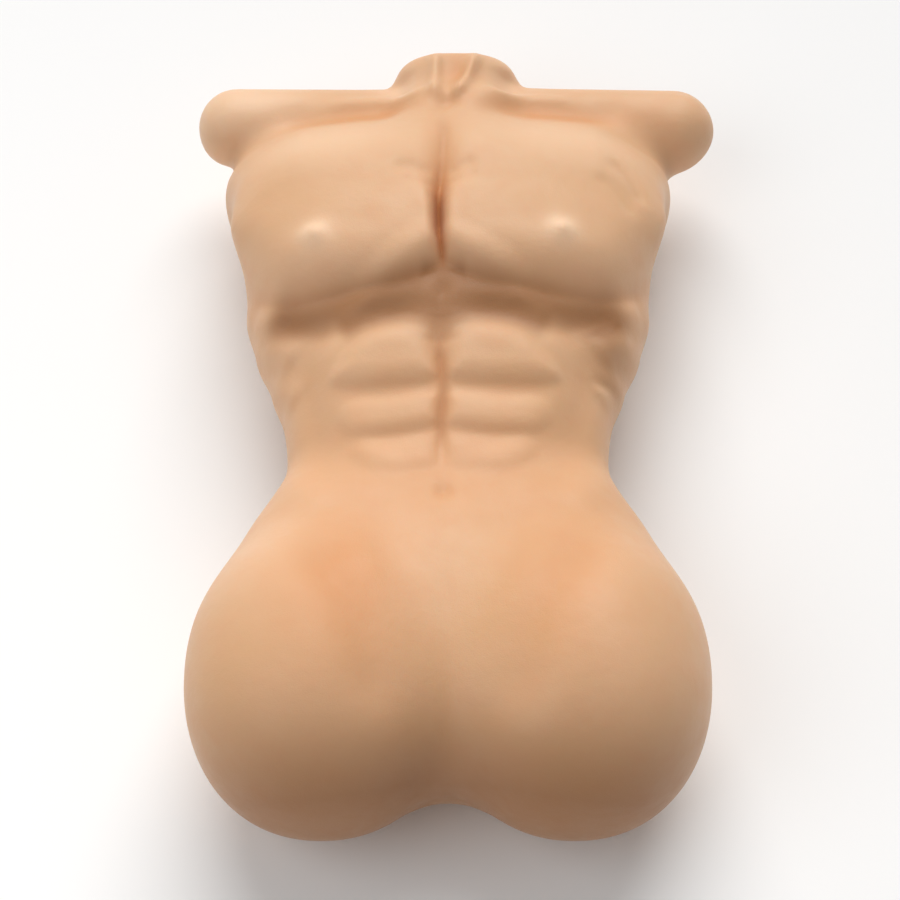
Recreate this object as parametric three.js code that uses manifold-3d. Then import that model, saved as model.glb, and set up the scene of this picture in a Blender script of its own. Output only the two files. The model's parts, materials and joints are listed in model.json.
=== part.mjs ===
// A headless, armless male torso mannequin in soft elastomer, moulded over a foam core and a
// bolted steel stiffener. Millimetres. It lies on its back: +Z is the front of the body, +Y runs
// to the neck and +X to the side of the body that is on the right of a viewer at its feet. The
// origin is the middle of the box's underside, on the surface that the back rests on.
import * as THREE from "three";
import { mergeVertices } from "three/addons/utils/BufferGeometryUtils.js";
import Module from "manifold-3d";

const wasm = await Module();
wasm.setup();

// ---- driving dimensions ----
const LENGTH = 534; // from the thigh stubs to the neck's cut end
const TOP = LENGTH / 2;
const TIP = 174; // the shoulder stubs' ends, each way from the middle
const GAP = 0.3; // clearance between neighbouring solids
const SKIN = 18; // elastomer between the foam core and the outside
const DEPTH = 160; // a little more than the body is deep
const FAR = 400; // past everything

// Trunk cross-sections from the crotch to the collar: place along Y, half width, back and front.
const TRUNK = [
  { y: -236, half: 74, back: 18, front: 90 },
  { y: -190, half: 112, back: 0, front: 116 },
  { y: -130, half: 121, back: 0, front: 122 },
  { y: -80, half: 109, back: 7, front: 116 },
  { y: -40, half: 99, back: 13, front: 110 },
  { y: 0, half: 102, back: 10, front: 114 },
  { y: 60, half: 123, back: 2, front: 124 },
  { y: 130, half: 134, back: -4, front: 125 },
  { y: 190, half: 146, back: -3, front: 118 },
  { y: 226, half: 122, back: 12, front: 104 },
  { y: 247, half: 70, back: 34, front: 92 },
];
const TRUNK_POWER = 2.35; // superellipse exponent of those sections
const TRUNK_RIM = 30; // rounding at the trunk's two ends

// The rounded masses that stand out of the trunk, given for the +X side.
const SHOULDER = { y: 230, z: 70, radius: 26 };
// The neck widens below "straight" down to "foot", both measured from its cut end.
const NECK = { z: 75, halfWidth: 42, halfDepth: 36, straight: 22, foot: 52, length: 110, flare: 0.25, rim: 12 };
const TRIM = 0.5; // the neck is modelled this much too long and then cut flat
const PEC = { x: 68, y: 118, z: 96, rx: 66, ry: 66, rz: 48, power: 3.4 };
const SEAT = { x: 56, y: -128, z: 64, rx: 76, ry: 80, rz: 62, power: 2 };
const THIGH = { x: 72, y: 90 - TOP, z: 77, rx: 79, ry: 90.5, rz: 80, power: 2.15 };
const CROTCH = { x: 0, y: -150, z: 80, rx: 42, ry: 80, rz: 52, power: 2.3 };
// How widely each mass is blended in. The chest's blend grows from its lower edge to its upper one.
const BLEND = { shoulder: 14, seat: 30, thigh: 16, crotch: 24, neck: 10, pecLow: 9, pecHigh: 29 };
const PEC_BLEND = { from: 90, to: 165 };
const GRID = 14; // size of the skin's facets

// Steel stiffener: the spine tube runs under two plates, and the cross bars lie on them.
const TUBE = { outer: 10, inner: 8 };
const SPINE = { z: 50, bottom: -180, top: 222 };
const PLATE = { half: 45, thick: 4, corner: 10, length: 84 };
const PLATE_Z = SPINE.z + TUBE.outer + GAP; // underside of both plates
const BAR_Z = PLATE_Z + PLATE.thick + GAP + TUBE.outer; // axis of both cross bars
const CHEST = { bar: SHOULDER.y, half: 138, plate: 202, cap: 16 };
const PELVIS = { bar: -165, half: 104, plate: -142, cap: 22 };
const BOLT = { radius: 3, head: 5.2, headThick: 4, nut: 5.2, nutThick: 5, tail: 3 };
const BAR_BOLT_X = 30;
const SPINE_BOLTS = { edge: 10, step: 28 }; // from the plate's end away from its cross bar
const CAP = { thick: 8, spigot: 15, edge: 3 };
const STUD = { radius: 5, bottom: 210, top: 253, nut: 8.5, nutThick: 7 };
const DISC = { radius: 20, thick: 5 };
const PLUG = { radius: 12, dome: 1.5 };

const CORE = { bottom: -190, top: 240, split: -30, rings: 12, points: 20 };
const SPLIT_Z = SPINE.z; // the foam halves part at the spine's axis

// Facets round the turned pieces.
const SIDES = { tube: 16, bolt: 10, stud: 12, disc: 18 };

// ---- materials ----
const elastomer = new THREE.MeshStandardMaterial({ color: 0xe6b48c, roughness: 0.55, metalness: 0 });
const foam = new THREE.MeshStandardMaterial({ color: 0xe9e2c8, roughness: 0.95, metalness: 0 });
const steel = new THREE.MeshStandardMaterial({ color: 0x9a9da1, roughness: 0.4, metalness: 1 });
const zinc = new THREE.MeshStandardMaterial({ color: 0xc4c6c4, roughness: 0.3, metalness: 1 });
const nylon = new THREE.MeshStandardMaterial({ color: 0x2c2d30, roughness: 0.6, metalness: 0 });

// ---- solids and geometry ----
function toSolid(geometry) {
  const bare = geometry.clone();
  bare.deleteAttribute("normal");
  bare.deleteAttribute("uv");
  const merged = mergeVertices(bare, 1e-4);
  return new wasm.Manifold(
    new wasm.Mesh({
      numProp: 3,
      vertProperties: new Float32Array(merged.attributes.position.array),
      triVerts: new Uint32Array(merged.index.array),
    }),
  );
}

function toGeometry(solid) {
  const { vertProperties, triVerts } = solid.getMesh();
  const geometry = new THREE.BufferGeometry();
  geometry.setAttribute("position", new THREE.BufferAttribute(vertProperties, 3));
  geometry.setIndex(new THREE.BufferAttribute(triVerts, 1));
  geometry.computeVertexNormals();
  return geometry;
}

function join(solids) {
  return solids.reduce((sum, solid) => sum.add(solid));
}

function box(x0, x1, y0, y1, z0, z1) {
  const geometry = new THREE.BoxGeometry(x1 - x0, y1 - y0, z1 - z0);
  return toSolid(geometry.translate((x0 + x1) / 2, (y0 + y1) / 2, (z0 + z1) / 2));
}

// A rod between two places on a line along one axis, "x", "y" or "z".
function rod(axis, from, to, radius, at, sides = SIDES.tube) {
  const geometry = new THREE.CylinderGeometry(radius, radius, to - from, sides);
  if (axis === "x") geometry.rotateZ(-Math.PI / 2);
  if (axis === "z") geometry.rotateX(Math.PI / 2);
  const place = { x: 0, y: 0, z: 0, ...at, [axis]: (from + to) / 2 };
  return toSolid(geometry.translate(place.x, place.y, place.z));
}

// ---- the trunk's cross-sections ----
const trunkPlaces = new THREE.CubicInterpolant(
  TRUNK.map((s) => s.y),
  TRUNK.flatMap((s) => [s.half, s.back, s.front]),
  3,
  new Float64Array(3),
);

function trunkAt(y) {
  const clamped = THREE.MathUtils.clamp(y, TRUNK[0].y, TRUNK.at(-1).y);
  const [half, back, front] = trunkPlaces.evaluate(clamped);
  return { half, middle: (back + front) / 2, depth: (front - back) / 2 };
}

function trunkRing(y, inset) {
  const { half, middle, depth } = trunkAt(y);
  const power = 2 / TRUNK_POWER;
  return Array.from({ length: CORE.points }, (_, i) => {
    const angle = (2 * Math.PI * i) / CORE.points;
    const c = Math.cos(angle);
    const s = Math.sin(angle);
    const x = Math.sign(c) * Math.abs(c) ** power * (half - inset);
    const z = Math.sign(s) * Math.abs(s) ** power * (depth - inset);
    return new THREE.Vector3(x, y, middle + z);
  });
}

// One closed skin over the rings, with a fan at each end. The rings run up +Y.
function loft(rings) {
  const count = rings[0].length;
  const vertices = rings.flat();
  const faces = [];
  for (let r = 0; r + 1 < rings.length; r++) {
    for (let i = 0; i < count; i++) {
      const a = r * count + i;
      const b = r * count + ((i + 1) % count);
      faces.push(a, a + count, b, b, a + count, b + count);
    }
  }
  [0, rings.length - 1].forEach((r) => {
    const centre = new THREE.Vector3();
    rings[r].forEach((p) => centre.addScaledVector(p, 1 / count));
    const hub = vertices.push(centre) - 1;
    for (let i = 0; i < count; i++) {
      const edge = [r * count + i, r * count + ((i + 1) % count)];
      faces.push(hub, ...(r === 0 ? edge : edge.reverse()));
    }
  });
  return toSolid(new THREE.BufferGeometry().setFromPoints(vertices).setIndex(faces));
}

function coreShape(inset) {
  const rings = Array.from({ length: CORE.rings }, (_, i) => {
    return trunkRing(THREE.MathUtils.lerp(CORE.bottom, CORE.top, i / (CORE.rings - 1)), inset);
  });
  return loft(rings);
}

// ---- the body's outside, as a field: the distance to its surface, negative inside ----
function smoothUnion(a, b, blend) {
  const overlap = Math.max(blend - Math.abs(a - b), 0) / blend;
  return Math.min(a, b) - overlap * overlap * blend * 0.25;
}

function smoothCut(a, b, blend) {
  return -smoothUnion(-a, b, blend);
}

// Distance to where the summed powers of the offsets over their half-lengths make one.
function superellipse(offsets, halves, power) {
  const share = offsets.map((offset, i) => Math.abs(offset) / halves[i] + 1e-6);
  const gauge = share.reduce((sum, s) => sum + s ** power, 0) ** (1 / power);
  const slope = share.map((s, i) => (s / gauge) ** (power - 1) / halves[i]);
  return (gauge - 1) / Math.hypot(...slope);
}

function mass(p, { x, y, z, rx, ry, rz, power }) {
  return superellipse([p.x - x, p.y - y, p.z - z], [rx, ry, rz], power);
}

function trunkField(p) {
  const { half, middle, depth } = trunkAt(p.y);
  const round = superellipse([p.x, p.z - middle], [half, depth], TRUNK_POWER);
  const start = TRUNK[0].y;
  const end = TRUNK.at(-1).y;
  const ends = Math.abs(p.y - (start + end) / 2) - (end - start) / 2;
  return smoothCut(round, -ends, TRUNK_RIM);
}

function shoulderField(p) {
  const { y, z, radius } = SHOULDER;
  const along = Math.min(p.x, TIP - radius);
  return Math.hypot(p.x - along, p.y - y, p.z - z) - radius;
}

// An oval stub that widens at its foot and is cut square, with a rounded rim.
function neckField(p) {
  const { z, halfWidth, halfDepth, straight, foot, length, flare, rim } = NECK;
  const widen = 1 + flare * (1 - THREE.MathUtils.smoothstep(p.y, TOP - foot, TOP - straight));
  const round = (Math.hypot(p.x / halfWidth, (p.z - z) / halfDepth) / widen - 1) * halfDepth;
  return smoothCut(Math.max(round, TOP - length - p.y), TOP + TRIM - p.y, rim);
}

function bodyField(point) {
  const p = new THREE.Vector3(Math.abs(point.x), point.y, point.z);
  const rise = THREE.MathUtils.smoothstep(p.y, PEC_BLEND.from, PEC_BLEND.to);
  const pecBlend = THREE.MathUtils.lerp(BLEND.pecLow, BLEND.pecHigh, rise);
  let d = smoothUnion(trunkField(p), shoulderField(p), BLEND.shoulder);
  d = smoothUnion(d, mass(p, SEAT), BLEND.seat);
  d = smoothUnion(d, mass(p, THIGH), BLEND.thigh);
  d = smoothUnion(d, mass(p, CROTCH), BLEND.crotch);
  d = smoothUnion(d, mass(p, PEC), pecBlend);
  return smoothUnion(d, neckField(p), BLEND.neck);
}

// ---- the field's zero surface, as quads between the cubes of a grid that it crosses ----
const AXES = [new THREE.Vector3(1, 0, 0), new THREE.Vector3(0, 1, 0), new THREE.Vector3(0, 0, 1)];
const CUBE_CORNERS = Array.from({ length: 8 }, (_, n) => [n & 1, (n >> 1) & 1, (n >> 2) & 1]);
const CUBE_EDGES = CUBE_CORNERS.flatMap((_, n) => [1, 2, 4].filter((bit) => !(n & bit)).map((bit) => [n, n | bit]));

// Moves a point straight onto the surface.
function settle(field, point) {
  for (let pass = 0; pass < 4; pass++) {
    const here = field(point);
    const slope = new THREE.Vector3();
    AXES.forEach((axis) => slope.addScaledVector(axis, field(point.clone().add(axis)) - here));
    point.addScaledVector(slope, -here / Math.max(slope.lengthSq(), 0.2));
  }
  return point;
}

function surfaceOf(field, low, cell, counts) {
  const [nx, ny, nz] = counts;
  const index = (i, j, k) => (k * ny + j) * nx + i;
  const place = (i, j, k) => new THREE.Vector3(i, j, k).multiplyScalar(cell).add(low);
  const values = new Float64Array(nx * ny * nz);
  const cubeVertex = new Map();
  const vertices = [];
  const faces = [];
  for (let k = 0; k < nz; k++)
    for (let j = 0; j < ny; j++)
      for (let i = 0; i < nx; i++) values[index(i, j, k)] = field(place(i, j, k));

  for (let k = 0; k + 1 < nz; k++)
    for (let j = 0; j + 1 < ny; j++)
      for (let i = 0; i + 1 < nx; i++) {
        const at = CUBE_CORNERS.map(([a, b, c]) => values[index(i + a, j + b, k + c)]);
        const crossed = CUBE_EDGES.filter(([a, b]) => at[a] < 0 !== at[b] < 0);
        if (!crossed.length) continue;
        const sum = new THREE.Vector3();
        crossed.forEach(([a, b]) => {
          const [from, to] = [a, b].map((n) => new THREE.Vector3(...CUBE_CORNERS[n]));
          sum.add(from.lerp(to, at[a] / (at[a] - at[b])));
        });
        const start = place(i, j, k).addScaledVector(sum, cell / crossed.length);
        cubeVertex.set(index(i, j, k), vertices.push(settle(field, start)) - 1);
      }

  const stride = [index(1, 0, 0), index(0, 1, 0), index(0, 0, 1)];
  for (const n of cubeVertex.keys())
    stride.forEach((along, axis) => {
      if (values[n] < 0 === values[n + along] < 0) return;
      const u = stride[(axis + 1) % 3];
      const v = stride[(axis + 2) % 3];
      const quad = [n, n - u, n - u - v, n - v].map((cube) => cubeVertex.get(cube));
      if (values[n] >= 0) quad.reverse();
      faces.push(quad[0], quad[1], quad[2], quad[0], quad[2], quad[3]);
    });
  return toSolid(new THREE.BufferGeometry().setFromPoints(vertices).setIndex(faces));
}

// The grid reaches one cell past the body on every side, and two below it.
function bodySolid() {
  const [across, along, up] = [TIP, TOP, DEPTH].map((length) => Math.ceil(length / GRID) + 1);
  const low = new THREE.Vector3(-across, -along, -2).multiplyScalar(GRID);
  const surface = surfaceOf(bodyField, low, GRID, [2 * across + 1, 2 * along + 1, up + 3]);
  return surface.intersect(box(-TIP, TIP, -TOP, TOP, 0, FAR));
}

// ---- the stiffener's pieces, each a list entry { name, solid, material } ----
const pieces = [];

function addPiece(name, solid, material) {
  pieces.push({ name, solid, material });
}

// Room for the stiffener inside the foam and the elastomer.
const room = [];

function tube(axis, from, to, at) {
  room.push(rod(axis, from - GAP, to + GAP, TUBE.outer + GAP, at));
  const bore = rod(axis, from - 1, to + 1, TUBE.inner, at);
  return rod(axis, from, to, TUBE.outer, at).subtract(bore);
}

function plate(y) {
  const { half, thick, corner, length } = PLATE;
  const shape = new THREE.Shape();
  const reach = { x: half - corner, y: length / 2 - corner };
  shape.absarc(reach.x, reach.y, corner, 0, Math.PI / 2);
  shape.absarc(-reach.x, reach.y, corner, Math.PI / 2, Math.PI);
  shape.absarc(-reach.x, -reach.y, corner, Math.PI, 1.5 * Math.PI);
  shape.absarc(reach.x, -reach.y, corner, 1.5 * Math.PI, 2 * Math.PI);
  const geometry = new THREE.ExtrudeGeometry(shape, { depth: thick, bevelEnabled: false, curveSegments: 4 });
  const margin = length / 2 + GAP;
  room.push(box(-half - GAP, half + GAP, y - margin, y + margin, PLATE_Z - GAP, PLATE_Z + thick + GAP));
  return toSolid(geometry.translate(0, y, PLATE_Z));
}

// A bolt along Z through everything between two faces, with its head on one and a nut on the other.
function bolt(name, x, y, headFace, nutFace) {
  const up = Math.sign(nutFace - headFace);
  const at = { x, y };
  const span = (a, b) => [Math.min(a, b), Math.max(a, b)];
  const headZ = span(headFace - up * (BOLT.headThick + GAP), headFace - up * GAP);
  const tail = nutFace + up * (2 * GAP + BOLT.nutThick + BOLT.tail);
  const shaftZ = span(headFace - up * (1 + GAP), tail);
  const nutZ = span(nutFace + up * GAP, nutFace + up * (GAP + BOLT.nutThick));
  const hex = rod("z", ...headZ, BOLT.head, at, 6);
  const bore = rod("z", -FAR, FAR, BOLT.radius + GAP, at, SIDES.bolt);
  addPiece(name + "_bolt", hex.add(rod("z", ...shaftZ, BOLT.radius, at, SIDES.bolt)), zinc);
  addPiece(name + "_nut", rod("z", ...nutZ, BOLT.nut, at, 6).subtract(bore), zinc);
  const whole = span(headFace - up * (BOLT.headThick + 2 * GAP), tail + up * GAP);
  room.push(rod("z", ...whole, BOLT.head + 2 * GAP, at, SIDES.bolt));
  return rod("z", ...whole, BOLT.radius + GAP, at, SIDES.bolt);
}

// A domed cap with a spigot that plugs a bar's open end.
function barCap(side, station) {
  const { thick, spigot, edge } = CAP;
  const radius = station.cap;
  const round = new THREE.EllipseCurve(radius - edge, thick - edge, edge, edge, 0, Math.PI / 2);
  const inner = TUBE.inner * Math.cos(Math.PI / SIDES.tube) - GAP; // inside the bore's flats
  const profile = [[0, -spigot], [inner, -spigot], [inner, 0], [radius, 0]]
    .map(([r, y]) => new THREE.Vector2(r, y))
    .concat(round.getPoints(2), new THREE.Vector2(0, thick));
  const start = side * (station.half + GAP);
  const place = (geometry) => geometry.rotateZ((-side * Math.PI) / 2).translate(start, station.bar, BAR_Z);
  const wide = new THREE.CylinderGeometry(radius + GAP, radius + GAP, thick + 2 * GAP, SIDES.tube);
  room.push(toSolid(place(wide.translate(0, thick / 2, 0))));
  return toSolid(place(new THREE.LatheGeometry(profile, SIDES.tube)));
}

const spineAt = { x: 0, z: SPINE.z };
let spine = tube("y", SPINE.bottom, SPINE.top, spineAt);

function crossFrame(part, station) {
  let sheet = plate(station.plate);
  let bar = tube("x", -station.half, station.half, { y: station.bar, z: BAR_Z });
  const away = Math.sign(station.plate - station.bar);
  ["outer", "inner"].forEach((label, i) => {
    const y = station.plate + away * (PLATE.length / 2 - SPINE_BOLTS.edge - i * SPINE_BOLTS.step);
    const hole = bolt(`${part}_spine_${label}`, 0, y, SPINE.z - TUBE.outer, PLATE_Z + PLATE.thick);
    spine = spine.subtract(hole);
    sheet = sheet.subtract(hole);
  });
  [-1, 1].forEach((side) => {
    const label = side < 0 ? "left" : "right";
    const hole = bolt(`${part}_bar_${label}`, side * BAR_BOLT_X, station.bar, BAR_Z + TUBE.outer, PLATE_Z);
    bar = bar.subtract(hole);
    sheet = sheet.subtract(hole);
    addPiece(`${part}_bar_cap_${label}`, barCap(side, station), nylon);
  });
  addPiece(`${part}_plate`, sheet, steel);
  return bar;
}

const chestBar = crossFrame("chest", CHEST);
addPiece("pelvis_bar", crossFrame("pelvis", PELVIS), steel);
addPiece("spine_tube", spine, steel);

// ---- the neck stud, which held the core in its mould, and the plug over it ----
const studAt = { x: 0, z: BAR_Z };
const studHole = rod("y", STUD.bottom - GAP, STUD.top + GAP, STUD.radius + GAP, studAt, SIDES.stud);
addPiece("shoulder_bar", chestBar.subtract(studHole), steel);
addPiece("neck_stud", rod("y", STUD.bottom, STUD.top, STUD.radius, studAt, SIDES.stud), zinc);
room.push(studHole);

function studNut(name, from) {
  const outer = rod("y", from, from + STUD.nutThick, STUD.nut, studAt, 6);
  addPiece(name, outer.subtract(studHole), zinc);
  room.push(rod("y", from - GAP, from + STUD.nutThick + GAP, STUD.nut + GAP, studAt, SIDES.stud));
}
const barReach = TUBE.outer + GAP;
studNut("neck_stud_nut_lower", SHOULDER.y - barReach - STUD.nutThick);
studNut("neck_stud_nut_upper", SHOULDER.y + barReach);

const discTop = STUD.top + 2;
const disc = rod("y", discTop - DISC.thick, discTop, DISC.radius, studAt, SIDES.disc);
addPiece("neck_disc", disc.subtract(studHole), nylon);
room.push(rod("y", discTop - DISC.thick - GAP, discTop + GAP, DISC.radius + GAP, studAt, SIDES.disc));

const plugBore = rod("y", discTop - 1, FAR, PLUG.radius + GAP, studAt, SIDES.disc);
const plugTop = TOP - discTop - PLUG.dome - 2 * GAP;
const dome = new THREE.EllipseCurve(0, plugTop, PLUG.radius, PLUG.dome, 0, Math.PI / 2);
const plugProfile = [new THREE.Vector2(0, 0), new THREE.Vector2(PLUG.radius, 0), ...dome.getPoints(2)];
const plug = new THREE.LatheGeometry(plugProfile, SIDES.disc).translate(0, discTop + 2 * GAP, BAR_Z);
addPiece("neck_plug", toSolid(plug), elastomer);

// ---- the foam core's four blocks and the elastomer body around them ----
const stiffenerRoom = join(room);
const cavity = coreShape(SKIN);
const coreBody = coreShape(SKIN + GAP);

function foamBlock(name, y0, y1, z0, z1) {
  const block = coreBody.intersect(box(-FAR, FAR, y0, y1, z0, z1)).subtract(stiffenerRoom);
  const largest = block.decompose().reduce((a, b) => (a.volume() > b.volume() ? a : b));
  addPiece(name, largest, foam);
}
foamBlock("chest_core_front", CORE.split + GAP, CORE.top - GAP, SPLIT_Z + GAP, FAR);
foamBlock("chest_core_back", CORE.split + GAP, CORE.top - GAP, -FAR, SPLIT_Z - GAP);
foamBlock("pelvis_core_front", CORE.bottom + GAP, CORE.split - GAP, SPLIT_Z + GAP, FAR);
foamBlock("pelvis_core_back", CORE.bottom + GAP, CORE.split - GAP, -FAR, SPLIT_Z - GAP);

addPiece("torso_skin", bodySolid().subtract(join([cavity, stiffenerRoom, plugBore])), elastomer);

// ---- the assembly ----
const torso = new THREE.Group();
pieces.forEach(({ name, solid, material }) => {
  const mesh = new THREE.Mesh(toGeometry(solid), material);
  mesh.name = name;
  torso.add(mesh);
});

export default torso;
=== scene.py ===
"""The looks of the torso mannequin: its moulded elastomer skin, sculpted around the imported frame.

The skin is one smooth surface, where a distance field made of muscle shapes is zero. Lengths in
the field are millimetres in the frame's axes: +Z is the front of the body and +Y runs to the neck.
"""
import json
import math

import bpy
import numpy as np
import openvdb
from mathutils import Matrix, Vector


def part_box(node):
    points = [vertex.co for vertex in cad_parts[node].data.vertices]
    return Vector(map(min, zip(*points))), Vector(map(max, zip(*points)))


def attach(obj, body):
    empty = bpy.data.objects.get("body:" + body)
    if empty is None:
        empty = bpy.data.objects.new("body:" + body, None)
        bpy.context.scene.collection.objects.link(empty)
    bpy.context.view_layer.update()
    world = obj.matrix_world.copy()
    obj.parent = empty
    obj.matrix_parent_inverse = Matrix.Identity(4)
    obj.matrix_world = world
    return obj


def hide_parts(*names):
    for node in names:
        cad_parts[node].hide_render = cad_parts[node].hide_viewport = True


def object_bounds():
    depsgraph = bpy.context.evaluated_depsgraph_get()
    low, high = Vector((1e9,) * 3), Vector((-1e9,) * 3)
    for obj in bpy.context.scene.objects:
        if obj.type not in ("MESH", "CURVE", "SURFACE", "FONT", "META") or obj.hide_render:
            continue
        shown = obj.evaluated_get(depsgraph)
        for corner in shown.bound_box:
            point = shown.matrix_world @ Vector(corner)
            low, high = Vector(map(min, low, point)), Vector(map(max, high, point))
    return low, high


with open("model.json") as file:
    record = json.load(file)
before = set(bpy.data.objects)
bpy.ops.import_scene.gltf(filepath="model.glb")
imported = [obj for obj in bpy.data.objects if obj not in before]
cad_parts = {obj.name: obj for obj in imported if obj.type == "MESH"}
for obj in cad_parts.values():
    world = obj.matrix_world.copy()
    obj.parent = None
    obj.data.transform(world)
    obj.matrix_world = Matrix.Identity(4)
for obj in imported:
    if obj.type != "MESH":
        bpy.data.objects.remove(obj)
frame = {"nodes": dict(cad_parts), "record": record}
cad_low, cad_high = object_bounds()
skin_low, skin_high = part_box("torso_skin")

MM = 0.001
TOP = skin_high.y / MM  # the neck's cut end
BOTTOM = skin_low.y / MM  # the thigh stubs' ends
TIP = skin_high.x / MM  # the shoulder stubs' ends
FRONT = skin_high.z / MM
plug_low, plug_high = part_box("neck_plug")

# The skin's mesh: grid steps at places along each axis, finer where the folds are.
COARSE = 1.09
STEPS_X = [(-180, 3.0), (-130, 2.4), (-24, 2.1), (-13, 1.3), (13, 1.3), (24, 2.1), (130, 2.4), (180, 3.0)]
STEPS_Y = [(-270, 3.4), (-80, 2.6), (-66, 1.8), (96, 1.8), (112, 2.3), (200, 2.3), (270, 2.3)]
STEPS_Z = [(0, 3.2), (54, 2.6), (94, 2.0), (170, 2.0)]
NEAR = 9.0  # how far past the skin the grid keeps true distances
BATCHES = 24  # the grid is worked out in this many parts, to save memory
SETTLE_TURNS = 4  # how often its points are moved onto the field's surface
SETTLE_REACH = 0.4  # how far apart the field is read to find its slope
LEAST_SLOPE = 0.4  # so that no point is moved too far

# Trunk cross-sections from the crotch to the collar: place along Y, half width, back, front.
TRUNK = np.array([
    (-236, 74, 18, 90),
    (-190, 112, 0, 116),
    (-130, 121, 0, 122),
    (-80, 109, 7, 116),
    (-40, 99, 13, 110),
    (0, 102, 10, 114),
    (60, 123, 2, 124),
    (130, 134, -4, 125),
    (190, 146, -3, 118),
    (226, 122, 12, 104),
    (247, 70, 34, 92),
], float)
TRUNK_POWER = 2.35  # superellipse exponent of those sections
TRUNK_RIM = 30  # rounding at the trunk's two ends

# The neck stub: its middle, half width and half depth, then where it starts to widen below its cut
# end, where that ends, and the roundings at its end and its buried root.
NECK = {
    "z": 75, "half": 42, "depth": 36, "power": 2.5, "length": 110,
    "straight": 22, "foot": 52, "flare": 0.25, "rim": 12, "root": 45,
}
PLUG_GAP, PLUG_RIM = 0.4, 2.0  # room around the neck's plug, and its hole's rounded edge

SHOULDER_Y, SHOULDER_Z = 230, 70
SHOULDERS = [(-1, TIP, 231, 26), (1, TIP, 227, 28)]  # side, tip, place of the end, radius
# Masses blended into the trunk: centre, radii, power and how widely they are blended.
SEAT = ((56, -128, 64), (76, 80, 62), 2.0, 30)
THIGH = ((72, BOTTOM + 90, 77), (79, 90, 80), 2.15, 16)
CROTCH = ((0, -150, 80), (42, 80, 52), 2.3, 24)
SHOULDER_BLEND, NECK_BLEND = 14, 9
MEET = 6.0  # rounding where the left and right forms meet
CONTACT = 7.0  # rounding where the body meets the ground it lies on

UPPER_SHIFT = 5.5  # the shoulders and neck sit a little to the right of the hips
UPPER_FROM, UPPER_FULL = 185, 228  # where along Y that starts and is whole
# The body's middle line on the front: places along Y, and how far it wanders to the right.
MIDLINE = [
    (-267, 0), (-120, -1), (-60, -3.5), (-28, -4), (-4, -2.4), (22, -5.5), (50, -4), (76, -2.8),
    (96, -5.5), (124, -6), (150, -3.6), (178, -2.2), (204, -4), (222, 4),
]
WANDER_REACH = 80  # how far to the sides the forms wander with it
TILT = 0.015  # the chest and stomach sit a little lower on the left

FRONT_FROM, FRONT_FULL = 66, 106  # where along Z the front's relief starts and is whole
BACK_TO, BACK_FULL = 60, 30  # and where the back's ends and is whole
MAP_STEP = 1.0  # grid step of the relief maps
MAP_MARGIN = 12  # how far they reach past the body
SOFTNESS = 1.3  # how far they are smoothed
STROKE_REACH = 2.3  # a stroke ends this many widths from its line

CAMERA_LENS, CAMERA_SENSOR, CAMERA_FAR = 85, 36, 20
CAMERA_RISE = 60  # degrees above the feet
CAMERA_DISTANCE = 1.30
CAMERA_TARGET = Vector((0, -0.022, 0.075))
CAMERA_SHIFT = 2 / 900

# Lights: place, power and colour.
KEY = ((0.1, 1.3, 1.35), 2.5, (1, 0.99, 0.975))
KEY_SPREAD = 52  # degrees across, for soft shadows
FILL = ((-1.0, -0.6, 1.5), 8, (0.98, 0.99, 1))
FILL_SIZE = 1.4
SKY = 0.3
FLOOR_SIZE = 60
FLOOR_GAP = 0.2 * MM  # so that the body's flats don't share the floor's plane


# ---- field parts: lengths in millimetres, negative inside ----

def smooth_union(a, b, k):
    """The nearer of two distances, rounded over k millimetres where they cross."""
    h = np.maximum(k - np.abs(a - b), 0.0) / k
    return np.minimum(a, b) - h * h * k * 0.25


def smooth_cut(a, b, k):
    """What two shapes share, rounded over k millimetres at the edge."""
    return -smooth_union(-a, -b, k)


def step(x, start, end):
    """0 before start, 1 after end, smooth between."""
    t = np.clip((x - start) / (end - start), 0.0, 1.0)
    return t * t * (3 - 2 * t)


def superellipse(offsets, halves, power):
    """Distance to where the summed powers of the offsets over their half-lengths make one."""
    share = np.abs(offsets) / halves + 1e-6
    gauge = (share ** power).sum(-1, keepdims=True) ** (1 / power)
    slope = (share / gauge) ** (power - 1) / halves
    return (gauge[:, 0] - 1) / np.linalg.norm(slope, axis=-1)


def mass(p, centre, radii, power=2.0):
    """Distance to a rounded block; power 2 is an ellipsoid and more is squarer."""
    return superellipse(p - np.array(centre, float), np.array(radii, float), power)


def limb(p, start, end, radius):
    """Distance to a round-ended limb."""
    a, b = np.array(start, float), np.array(end, float)
    t = np.clip((p - a) @ (b - a) / ((b - a) @ (b - a)), 0.0, 1.0)
    return np.linalg.norm(p - a - t[:, None] * (b - a), axis=1) - radius


def curve(points, steps=4):
    """A smooth line through a few points."""
    points = np.array(points, float)
    ends = np.vstack([2 * points[0] - points[1], points, 2 * points[-1] - points[-2]])
    smooth = []
    for before, start, end, after in zip(ends, ends[1:], ends[2:], ends[3:]):
        for t in np.arange(steps) / steps:
            bend = (2 * before - 5 * start + 4 * end - after) * t * t
            twist = (3 * start - before - 3 * end + after) * t ** 3
            smooth.append(0.5 * (2 * start + (end - before) * t + bend + twist))
    return np.array(smooth + [points[-1]])


def mirrored(places):
    """The same places, all on the +X side."""
    places = places.copy()
    places[:, 0] = np.abs(places[:, 0])
    return places


def window(flat, points, margin):
    """Which places lie in the box around some points."""
    points = np.array(points, float)
    low, high = points.min(0) - margin, points.max(0) + margin
    return ((flat > low) & (flat < high)).all(1)


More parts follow.
